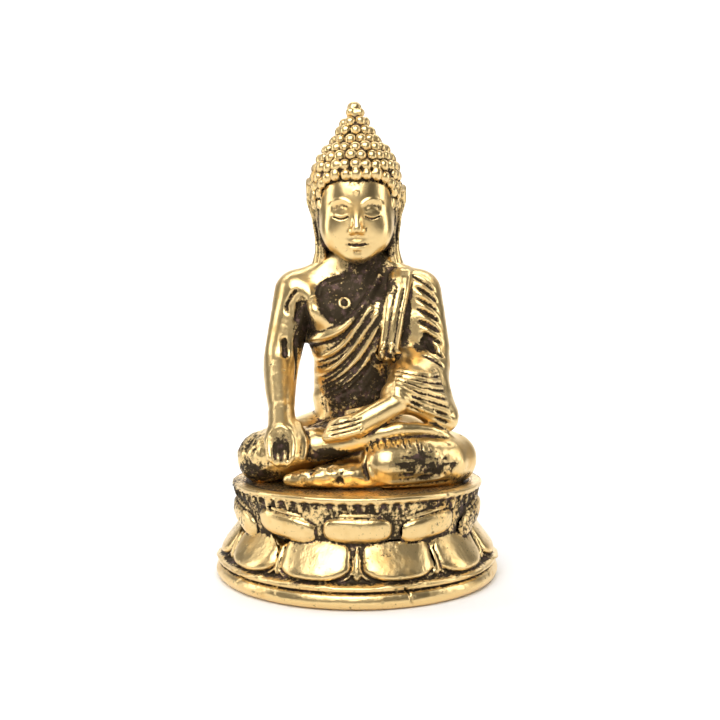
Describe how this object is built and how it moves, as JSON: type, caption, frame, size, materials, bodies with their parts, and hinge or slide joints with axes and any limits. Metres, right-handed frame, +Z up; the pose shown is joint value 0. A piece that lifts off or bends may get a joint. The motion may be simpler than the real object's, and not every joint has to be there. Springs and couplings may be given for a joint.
{
  "type": "seated buddha statuette",
  "caption": "Small cast brass statuette of a seated Buddha touching the earth, on a round double-lotus pedestal.",
  "frame": {"origin": "centre of the round resting face under the foot", "axes": "+Z up, the figure faces -Y, +X is the figure's left"},
  "size_m": [0.0237, 0.0236, 0.04],
  "materials": {
    "polished_brass": "hand-polished, bright on the high places, brown in the folds",
    "aged_brass": "as cast and darkened, worn bright on the tips"
  },
  "bodies": {
    "root": {"foot_moulding": "polished_brass", "pedestal_core": "aged_brass", "lower_petals": "polished_brass", "petal_buds": "aged_brass", "upper_petals": "polished_brass", "stamen_band": "aged_brass", "seat_slab": "polished_brass", "left_leg": "polished_brass", "right_leg": "polished_brass", "torso": "polished_brass", "right_arm": "polished_brass", "left_sleeve": "polished_brass", "left_hand": "polished_brass", "shoulder_cloth": "polished_brass", "head": "polished_brass", "right_ear": "polished_brass", "left_ear": "polished_brass", "hair_cap": "aged_brass", "hair_curls": "aged_brass", "finial": "polished_brass"}
  },
  "joints": []
}
